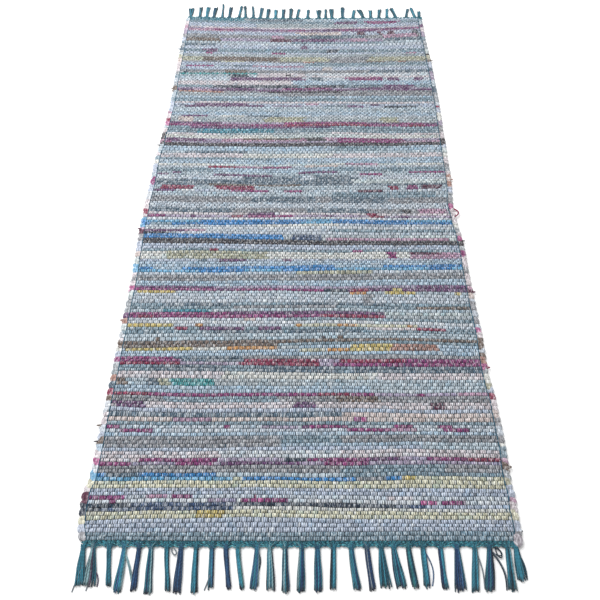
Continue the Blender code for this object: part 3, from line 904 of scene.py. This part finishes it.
# Threads that have worked loose along the selvedges: side, place in pitches of the rags, how
# far out they reach and how far they span, in mm, and their dye. A wide one is a loop.
EDGE_THREADS = (
    (-1, 24.3, 4.0, 3.0, "umber"), (-1, 28.6, 5.0, 4.0, "brown"), (-1, 60.5, 2.5, 6.0, "rust"),
    (-1, 95.0, 3.0, 5.0, "wine"), (-1, 134.0, 3.5, 5.0, "umber"), (-1, 166.0, 3.0, 6.0, "brown"),
    (-1, 191.5, 5.0, 6.0, "slate"), (-1, 193.5, 4.0, 4.0, "umber"), (1, 18.5, 3.0, 6.0, "brown"),
    (1, 46.0, 3.0, 5.0, "crimson"), (1, 71.0, 3.5, 6.0, "wine"), (1, 90.5, 3.0, 5.0, "umber"),
    (1, 102.5, 6.5, 28.0, "crimson"), (1, 117.5, 3.0, 5.0, "rust"), (1, 184.0, 3.5, 6.0, "brown"),
)
THREAD_RINGS = 12
THREAD_SIDES = 5
THREAD_RADIUS = 0.0008  # of a short one, and a long one is up to twice as thick
LONG_THREAD = 28.0  # mm
THREAD_ROOT = 4.0  # mm that each end lies inside the edge of the rug
THREAD_ARCH = 0.0024  # how far one end stands above the middle of the cloth
THREAD_RUN = 0.5  # turns of the yarn from one ring to the next


def tube_rings(path, radii, sides):
    """Rings of points round each path[strand, ring], with its radius there."""
    along = np.gradient(path, axis=1)
    along /= np.linalg.norm(along, axis=-1, keepdims=True)
    aside = np.cross(along, (0.0, 0.0, 1.0))
    size = np.linalg.norm(aside, axis=-1, keepdims=True)
    aside = np.where(size > 1e-3, aside / np.maximum(size, 1e-3), (1.0, 0.0, 0.0))
    upward = np.cross(aside, along)
    around = np.linspace(0, 2 * np.pi, sides, endpoint=False)
    wide = np.cos(around)[:, None] * aside[:, :, None]
    high = np.sin(around)[:, None] * upward[:, :, None]
    return path[:, :, None] + radii[..., None, None] * (wide + high)


def dyed(dyes, rings):
    """Colours for strands[strand, ring, side] that each have one dye all over."""
    return np.array(dyes)[:, None, None] * np.ones(rings.shape[:3])[..., None]


share = np.linspace(1, 0, THREAD_RINGS)
thread_paths, thread_dyes, thread_fat = [], [], []
for side, thread_place, out_reach, span, colour in EDGE_THREADS:
    thread_y = NEAR_Y + thread_place * PITCH + (share - 0.5) * span * MM
    thread_out = (np.sin(np.pi * share) * (out_reach + THREAD_ROOT) - THREAD_ROOT) * MM
    thread_x = edge_x(side, thread_y) + side * thread_out
    thread_z = WEB_MIDDLE + THREAD_ARCH * np.cos(np.pi * share / 2)
    thread_paths.append(np.stack([thread_x, thread_y, thread_z], -1))
    thread_dyes.append(dye(RAG_DYES[colour]))
    thread_fat.append(np.full(THREAD_RINGS, THREAD_RADIUS * (1 + span / LONG_THREAD)))
thread_rings = tube_rings(np.array(thread_paths), np.array(thread_fat), THREAD_SIDES)
thread_run = np.tile(np.arange(THREAD_RINGS) * THREAD_RUN, (len(thread_paths), 1))
thread_colours = dyed(thread_dyes, thread_rings)
threads = strands("selvedge_threads", thread_rings, thread_colours, cotton, thread_run)
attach(threads, "root")

# ---------------------------------------------------------------------------------------
# The end of the first rag: at the near right corner it is folded back on itself in a soft
# grey-mauve pad, tucked against the corner, with a short dark thread left on it.
# ---------------------------------------------------------------------------------------
tab_low, tab_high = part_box("rag_end")
TAB_AROUND, TAB_UP = 36, 14
TAB_TUCK = (-0.0015, 0.0050, 0)  # how far it has been pushed in, mostly along the selvedge
TAB_FULL = (0.97, 0.98, 0.96)  # share of its solid that it fills
TAB_ROUND = 0.9  # below 1, the pad is squarer than an oval
TAB_BLUNT = 0.55  # and its rim is blunter
TAB_DYE = "#a59ea6"
tab_centre = (np.array(tab_low) + np.array(tab_high)) / 2 + TAB_TUCK
tab_half = (np.array(tab_high) - np.array(tab_low)) / 2 * TAB_FULL
turn = np.linspace(0, 2 * np.pi, TAB_AROUND, endpoint=False)
rise = np.linspace(-np.pi / 2, np.pi / 2, TAB_UP)
plan = np.stack([
    np.sign(np.cos(turn)) * np.abs(np.cos(turn)) ** TAB_ROUND,
    np.sign(np.sin(turn)) * np.abs(np.sin(turn)) ** TAB_ROUND,
], -1)
level = (np.maximum(np.cos(rise), 0.0004) ** TAB_BLUNT)[:, None]
dents = 0.04 * random.normal(size=(TAB_UP, TAB_AROUND))
tab_x = level * plan[:, 0] * (1 + dents * level)
tab_y = level * plan[:, 1]
tab_z = np.sin(rise)[:, None] * np.ones(TAB_AROUND)
tab_z = tab_z + np.where(tab_z > 0, 0.05 * np.sin(4 * tab_y + 2 * tab_x), 0)
tab_rings = (np.stack([tab_x, tab_y, tab_z.clip(-1, 1)], -1) * tab_half + tab_centre)[None]
tab_colours = dyed([dye(TAB_DYE)], tab_rings)
tab_colours *= 1 + 0.04 * random.normal(size=tab_colours.shape[:3])[..., None]
rag_end = strands("rag_end_fold", tab_rings, tab_colours, loop_cotton, np.zeros((1, TAB_UP)))
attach(rag_end, "root")
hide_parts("rag_end")

# ---------------------------------------------------------------------------------------
# The fringes: at each end the warp ends leave the last rag in fours, are knotted close to
# it, and lie free in flat tassels of ten strands, cut by hand to about the same length.
# No two are alike: they lean, splay and mix teal, navy and a few odd dyes.
# ---------------------------------------------------------------------------------------
# Single yarns that have come loose: knot or start, and tip, each as its place across the
# rug and its reach, in mm, then how far the yarn bows aside between them, and its dye.
STRAYS = (
    (-336, 40, -346, 76, -1, "M"), (-322, 44, -325, 74, 1, "M"), (-313, 48, -309, 68, 2, "P"),
    (-275, 16, -256, 64, 3, "L"), (-274, 18, -258, 60, 1, "L"), (-161, 17, -157, 72, 0, "K"),
    (-137, 50, -145, 72, 0, "M"), (-65, 14, -63, 44, 3, "K"), (-44, 14, -38, 73, 1, "P"),
    (30, 46, 33, 74, 1, "T"), (106, 44, 112, 72, 1, "N"), (197, 18, 203, 66, 6, "B"),
    (277, 18, 282, 69, 3, "M"), (300, 15, 315, 72, 7, "K"), (303, 17, 317, 70, 6, "M"),
    (343, 20, 349, 57, 3, "D"), (350, -15, 356, -17, 1, "K"),
)
# Small loops of thread that stand out of the heading: place, reach, width, length, dye.
THREAD_LOOPS = ((-200, 10, 7, 11, "M"), (303, 9, 14, 13, "K"), (309, 9, 7, 16, "K"))
STRAY_RINGS = 14
STRAY_RADIUS = 0.0010
YARN_DYES = {
    "T": "#36859c", "D": "#164e62", "N": "#1d3f68", "B": "#38628c", "G": "#2c7a7c",
    "L": "#8fb4bc", "K": "#153040", "P": "#5a4a68", "M": "#7f8a94",
}
# Each tassel from left to right: knot, how far its cut end lies to the right of the knot,
# how far it reaches from the cloth, its width there, all in mm, and its strands' dyes.
NEAR_TASSELS = (
    (-341, 5, 63, 17, "TTTDTTDT"), (-325, 4, 63, 21, "TLLMPDTT"), (-300, 9, 63, 9, "TTDTTTDT"),
    (-276, -1, 71, 14, "TTBBTTDL"), (-253, 0, 69, 11, "NNBNNNDN"), (-234, 4, 72, 14, "TTNNTLTD"),
    (-209, 9, 69, 9, "TTDDTTKD"), (-187, 1, 72, 14, "NBNNBNNB"), (-163, 3, 71, 12, "TTTTTDKK"),
    (-138, 3, 65, 10, "TTBTTBDK"), (-116, 9, 65, 9, "NNBNBNNN"), (-97, 10, 65, 9, "DTTNTGTL"),
    (-67, -2, 66, 14, "TBTNTBTL"), (-47, 4, 67, 14, "KTLTTLTK"), (-23, 2, 69, 13, "TDLTTKTB"),
    (3, -1, 69, 14, "LLTNNNTT"), (28, 1, 69, 14, "TTNTTNNT"), (53, -2, 66, 11, "KKDTTTTT"),
    (81, 7, 67, 13, "LTTLTNNT"), (106, 6, 67, 11, "NNMBNNMB"), (128, 4, 64, 18, "TTDGTDGT"),
    (148, 8, 64, 17, "NTTGNTGT"), (171, 6, 64, 12, "DDGDTDGD"), (194, 1, 64, 11, "TTTDTTBB"),
    (221, 1, 66, 10, "NNNNTTTT"), (247, -2, 68, 18, "TNNKNBBT"), (275, -8, 69, 13, "TTTTDTTL"),
    (298, -9, 69, 16, "TTNTTNTK"), (327, -3, 68, 13, "TTDTKTTL"), (340, 1, 54, 16, "TTTDTTTD"),
)
FAR_TASSELS = (
    (-338, -2, 58, 18, "TDTTDTTD"), (-311, -1, 62, 11, "TTDDTDTT"), (-290, 0, 63, 13, "DTTDTTDT"),
    (-269, 2, 60, 14, "TTNTDTTD"), (-244, -2, 78, 6, "DDTDDTDD"), (-223, 2, 62, 12, "TDTTDNTT"),
    (-194, 4, 69, 8, "TTDTTDTT"), (-175, -5, 67, 8, "DTDTTDTD"), (-152, -4, 67, 7, "TTDTDTTD"),
    (-131, 3, 60, 11, "TDTTNTDT"), (-110, 2, 53, 13, "TTDTTDTB"), (-86, 0, 49, 11, "DTTDTTDT"),
    (-64, 1, 49, 12, "TTDTTNTD"), (-42, 2, 55, 13, "TDTTDTTD"), (-22, 5, 51, 10, "TTDDTTDT"),
    (9, 2, 47, 9, "DTTDTDTT"), (42, 0, 47, 15, "TTDTTDTT"), (62, 1, 51, 8, "NTDTTDTD"),
    (80, 0, 53, 14, "TDTTDTTD"), (112, 1, 62, 12, "TTDTDTTB"), (143, 5, 46, 10, "DTTDTTDT"),
    (172, -10, 51, 14, "TTDTTDTT"), (195, 1, 47, 11, "TDTDTTND"), (219, 5, 51, 11, "TTDTTDTT"),
    (243, 3, 55, 9, "DTTDTTDT"), (268, -9, 58, 11, "TDTTDTTD"), (300, 8, 53, 8, "TTDTTDTT"),
    (325, -7, 58, 9, "DTTDTTDN"), (338, 2, 40, 10, "TTDTTDTT"),
)
STRANDS = 10
STRAND_RADIUS = 0.00122
STRAND_SIDES = 5
LOWER_LAYER, UPPER_LAYER = 0.0013, 0.0031
KNOT_FROM, KNOT_TO = 0.0085, 0.0135
CUT_EXTRA = 0.0038  # the heading takes this much more than the near tassels' own reach
CUT_STRAY = 0.0016
RADIUS_STRAY = 0.08
CUT_TAPER, CUT_SHADE = 0.86, 0.35  # how thin and how dark a strand is at its cut end
UNEVEN = {-1: 0.28, 1: 0.50}  # how much one strand is darker than another, near and far
ROOT_DYE = "#2c6f80"  # of each strand where it leaves the cloth
SKIN = 0.0001  # the least height of any yarn over the floor
KNOT_TURNS = 1.7
KNOT_RINGS, KNOT_SIDES = 26, 6
KNOT_RADIUS, KNOT_HALF = 0.00125, 0.0032
HEADING_TEALS = np.array([dye(code) for code in ("#3f9cb0", "#22637a", "#68b6c2", "#2f7a8a")])
HEADING_HALF = 0.3455
HEADING_RINGS, HEADING_SIDES = 300, 5
HEADING_RADIUS = 0.00118
HEADING_CORDS = ((0.0006, 0.0008), (0.0028, 0.0036), (0.0050, 0.0066), (0.0070, 0.0098))


fringe_pieces = {}
for end, node, tassels in ((-1, "fringe_near", NEAR_TASSELS), (1, "fringe_far", FAR_TASSELS)):
    straight_y = end * LENGTH / 2
    last_line = shed_lines(ends_across)[0 if end < 0 else -1]
    paths, radii, dyes, knots, knot_dyes = [], [], [], [], []
    knot_row = np.array([row[0] for row in tassels]) * MM
    end_x = field_x(ends_across, straight_y)
    owner = np.abs(end_x[:, None] - knot_row).argmin(1)
    for number, (knot, lean, reach, width, code) in enumerate(tassels):
        knot, lean, reach, width = knot * MM, lean * MM, reach * MM, width * MM
        own = np.flatnonzero(owner == number)
        own = own if len(own) else np.array([np.abs(end_x - knot_row[number]).argmin()])
        mine = np.linspace(own[0] - 0.3, own[-1] + 0.3, STRANDS).clip(0, ENDS - 1)
        start_x = field_x(mine / (ENDS - 1), straight_y)
        edge_y = np.interp(mine.mean(), np.arange(ENDS), last_line)
        bow = max(end * (straight_y - edge_y), 0.0) if end > 0 else 0.0
        base_y = straight_y if end > 0 else edge_y
        reach = reach + (CUT_EXTRA if end < 0 else 0.0)
        rank = np.linspace(-1, 1, STRANDS)
        wobble = random.normal(size=(STRANDS, 4))
        cut = reach + wobble[:, 0] * CUT_STRAY
        fixed = np.array([-0.002, 0.001, 0.004, 0.007, 0.010, 0.0135, 0.0175])
        fixed = np.where(fixed < 0.010, fixed - bow * (1 - (fixed.clip(0) / 0.010)), fixed)
        later = np.linspace(0, 1, 7)[1:]
        reach_of = np.concatenate([
            np.tile(fixed, (STRANDS, 1)), fixed[-1] + (cut[:, None] - fixed[-1]) * later,
        ], 1)
        gather = np.clip((reach_of + bow) / (0.009 + bow), 0, 1)
        gather = gather * gather * (3 - 2 * gather)
        slide = np.clip((reach_of - 0.0125) / (reach - 0.0125), 0, 1)
        belly = 0.0175 + (reach - 0.0175) * 0.45
        half = np.interp(
            reach_of, [0.0, 0.0100, 0.0145, belly, reach],
            [0.0026, 0.0024, 0.0031, width * 0.40 - 0.0010, width / 2 - 0.0010],
        )
        wander_x = np.sin(reach_of * 110 + wobble[:, 1:2] * 3) * 0.0006 * slide
        path_x = start_x[:, None] * (1 - gather) + knot * gather
        path_x += lean * slide ** 1.2 + rank[:, None] * half * gather + wander_x
        lower = (np.arange(STRANDS) % 2 == 0)[:, None]
        layer = np.where(lower, LOWER_LAYER, UPPER_LAYER)
        bundle = WEB_MIDDLE - 0.0004 + 0.0012 * np.where(lower, -1, 1)
        lie = np.clip((reach_of - 0.0125) / 0.012, 0, 1)
        path_z = bundle * (1 - lie) + layer * lie
        path_z = path_z + 0.0003 * np.sin(reach_of * 140 + wobble[:, 2:3] * 3) * lie
        paths.append(np.stack([path_x, base_y + end * reach_of, path_z], -1))
        swelling = np.interp(reach_of, [0.0, 0.010, 0.0175, 1.0], [0.80, 0.85, 1.0, 1.0])
        strand_radius = STRAND_RADIUS * swelling * (1 + RADIUS_STRAY * wobble[:, 3:4])
        strand_radius[:, -1] *= CUT_TAPER
        radii.append(strand_radius)
        letters = np.linspace(0, len(code) - 1, STRANDS).round().astype(int)
        strand_dyes = np.array([dye(YARN_DYES[code[letter]]) for letter in letters])
        strand_dyes *= random.uniform(1 - UNEVEN[end], 1 + UNEVEN[end], STRANDS)[:, None]
        # Painted shade and highlight: the outer strands of each tassel are darker and the middle
        # ones lighter, so the tassel looks round.
        strand_dyes *= (1.12 - 0.60 * np.abs(rank) ** 4)[:, None]
        dyes.append(strand_dyes)
        phase = np.linspace(0, 1, KNOT_RINGS)
        spin = 2 * np.pi * KNOT_TURNS * phase + wobble[0, 2]
        middle_reach = KNOT_FROM + (KNOT_TO - KNOT_FROM) * (phase * 0.8 + 0.1) - bow * 0.3
        knots.append(np.stack([
            knot + KNOT_HALF * np.cos(spin), base_y + end * middle_reach,
            0.0030 + 0.0016 * np.sin(spin),
        ], -1))
        knot_dyes.append((strand_dyes[[2, 6]].mean(0) + TEALS[number % len(TEALS)] * 2) / 3 * 1.3)
    paths = np.concatenate(paths)
    radii = np.concatenate(radii)
    rings = tube_rings(paths, radii, STRAND_SIDES)
    rings[..., 2] = rings[..., 2].clip(SKIN, None)
    fade = 1 + FATNESS_DRIFT * smooth_noise(random, rings.shape[:2], 3)
    colours = dyed(np.concatenate(dyes), rings) * fade[..., None, None]
    heading_share = np.clip(1 - np.arange(rings.shape[1]) / 5, 0, 1)[None, :, None, None]
    colours = colours * (1 - heading_share) + dye(ROOT_DYE) * heading_share
    colours[:, -1] *= CUT_SHADE
    run_of = np.linalg.norm(np.diff(paths, axis=1), axis=-1).cumsum(1) / YARN_LAY
    run_of = np.concatenate([np.zeros((len(paths), 1)), run_of], 1)
    piece = strands(node + "_tassels", rings, colours.clip(0.003, 0.9), cotton, run_of)
    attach(piece, "root")
    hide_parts(node)
    knot_radii = np.full((len(knots), KNOT_RINGS), KNOT_RADIUS)
    knot_rings = tube_rings(np.array(knots), knot_radii, KNOT_SIDES)
    knot_rings[..., 2] = knot_rings[..., 2].clip(SKIN, None)
    knot_run = np.tile(np.arange(KNOT_RINGS) * 0.3, (len(knots), 1))
    knot_colours = dyed(knot_dyes, knot_rings)
    knot_piece = strands(node + "_knots", knot_rings, knot_colours, cotton, knot_run)
    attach(knot_piece, "root")
    cord_x = np.linspace(-HEADING_HALF, HEADING_HALF, HEADING_RINGS)
    if end < 0:
        cord_x = np.linspace(-HEADING_HALF, tab_low.x - 0.001, HEADING_RINGS)
    near_knot = np.abs(cord_x[:, None] - knot_row).min(1)
    swag = np.cos(np.clip(near_knot / 0.0115, 0, 1) * np.pi) * 0.5 + 0.5
    edge_at = np.interp(cord_x, end_x, last_line)
    bow_at = end * (straight_y - edge_at) if end > 0 else np.zeros(HEADING_RINGS)
    base_at = straight_y if end > 0 else edge_at
    cords = []
    for shallow, deep in HEADING_CORDS:
        twist = np.arange(HEADING_RINGS) * 1.9 + random.uniform(0, 6)
        cord_reach = (shallow + (deep - shallow) * swag) - bow_at * (1 - 0.3 * swag)
        cord_reach += 0.0007 * np.sin(twist) + 0.0003 * random.normal(size=HEADING_RINGS)
        cords.append(np.stack([
            cord_x, base_at + end * cord_reach, 0.0032 + 0.0013 * np.cos(twist),
        ], -1))
    cord_radii = np.full((len(cords), HEADING_RINGS), HEADING_RADIUS)
    cord_rings = tube_rings(np.array(cords), cord_radii, HEADING_SIDES)
    cord_rings[..., 2] = cord_rings[..., 2].clip(SKIN, None)
    cord_dyes = HEADING_TEALS[random.integers(0, len(HEADING_TEALS), cord_rings.shape[:2])]
    cord_colours = np.repeat(cord_dyes[:, :, None], HEADING_SIDES, 2)
    cord_run = np.tile(np.arange(HEADING_RINGS) * 0.55, (len(cords), 1))
    heading = strands(node + "_heading", cord_rings, cord_colours, cotton, cord_run)
    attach(heading, "root")
    fringe_pieces[node] = [piece, knot_piece, heading]
    if end > 0:
        continue
    share = np.linspace(0, 1, STRAY_RINGS)
    stray_paths, stray_dyes = [], []
    for start, from_reach, tip, to_reach, bow_aside, letter in STRAYS:
        stray_x = start + (tip - start) * share + bow_aside * np.sin(np.pi * share)
        stray_reach = from_reach + (to_reach - from_reach) * share
        stray_paths.append((stray_x, stray_reach, 3.8 - 2.9 * np.sin(np.pi / 2 * share)))
        stray_dyes.append(dye(YARN_DYES[letter]))
    for start, from_reach, wide, long, letter in THREAD_LOOPS:
        swing = 2 * np.pi * (share * 0.92 + 0.04)
        stray_x = start + wide / 2 * np.sin(swing) + wide * 0.35 * (1 - np.cos(swing))
        stray_paths.append((stray_x, from_reach + long / 2 * (1 - np.cos(swing)), 3.0 + 0 * share))
        stray_dyes.append(dye(YARN_DYES[letter]))
    stray_paths = np.array(stray_paths).transpose(0, 2, 1) * MM
    stray_paths[..., 1] = np.interp(stray_paths[..., 0], end_x, last_line) - stray_paths[..., 1]
    stray_radii = np.full(stray_paths.shape[:2], STRAY_RADIUS)
    stray_rings = tube_rings(stray_paths, stray_radii, STRAND_SIDES)
    stray_colours = dyed(stray_dyes, stray_rings)
    stray_run = np.tile(np.arange(STRAY_RINGS) * 0.7, (len(stray_paths), 1))
    strays = strands("fringe_near_strays", stray_rings, stray_colours, cotton, stray_run)
    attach(strays, "root")
    fringe_pieces[node].append(strays)

# ---------------------------------------------------------------------------------------
# The floor: a large plane under the rug. The whole cloth, woven to its size and never cut,
# lies flat on it.
# ---------------------------------------------------------------------------------------
FLOOR_SIZE = 12.0

bpy.ops.mesh.primitive_plane_add(size=FLOOR_SIZE, location=(0.0, 1.0, 0.0))
floor = bpy.context.object
floor.name = "floor"

# ---------------------------------------------------------------------------------------
# The studio: a plain white floor, a broad soft light overhead and a camera on a stand at
# the near end, looking down along the rug.
# ---------------------------------------------------------------------------------------
ROOM_LIGHT, LAMP_POWER, LAMP_SIZE = 0.68, 100, 2.2
LAMP_PLACE = (-1.2, 0.9, 2.4)
EYE = (0.0067, -1.0279, 1.0479)
PITCH_DOWN, YAW, ROLL = (math.radians(angle) for angle in (54.163, -0.818, -0.352))
LENS = 38.4

paper = bpy.data.materials.new("white_floor")
paper.use_nodes = True
paper_shader = paper.node_tree.nodes["Principled BSDF"]
paper_shader.inputs["Base Color"].default_value = (0.92, 0.92, 0.92, 1)
paper_shader.inputs["Roughness"].default_value = 0.9
floor.data.materials.append(paper)

world = bpy.data.worlds.new("studio")
world.use_nodes = True
world.node_tree.nodes["Background"].inputs["Color"].default_value = (1, 1, 1, 1)
world.node_tree.nodes["Background"].inputs["Strength"].default_value = ROOM_LIGHT
bpy.context.scene.world = world

lamp = bpy.data.lights.new("soft_box", "AREA")
lamp.energy = LAMP_POWER
lamp.size = LAMP_SIZE
soft_box = bpy.data.objects.new("soft_box", lamp)
soft_box.location = LAMP_PLACE
soft_box.rotation_euler = (-soft_box.location).to_track_quat("-Z", "Y").to_euler()
bpy.context.scene.collection.objects.link(soft_box)

lens = bpy.data.cameras.new("camera")
lens.sensor_width = 36.0
lens.lens = LENS
camera = bpy.data.objects.new("camera", lens)
level = Vector((math.sin(YAW), math.cos(YAW), 0.0)) * math.cos(PITCH_DOWN)
forward = level - Vector((0.0, 0.0, math.sin(PITCH_DOWN)))
level_right = Vector((math.cos(YAW), -math.sin(YAW), 0.0))
level_up = level_right.cross(forward)
camera_right = math.cos(ROLL) * level_right + math.sin(ROLL) * level_up
camera_up = -math.sin(ROLL) * level_right + math.cos(ROLL) * level_up
turned = Matrix((camera_right, camera_up, -forward)).transposed().to_4x4()
camera.matrix_world = Matrix.Translation(EYE) @ turned
bpy.context.scene.collection.objects.link(camera)
bpy.context.scene.camera = camera
bpy.context.scene.view_settings.view_transform = "Standard"
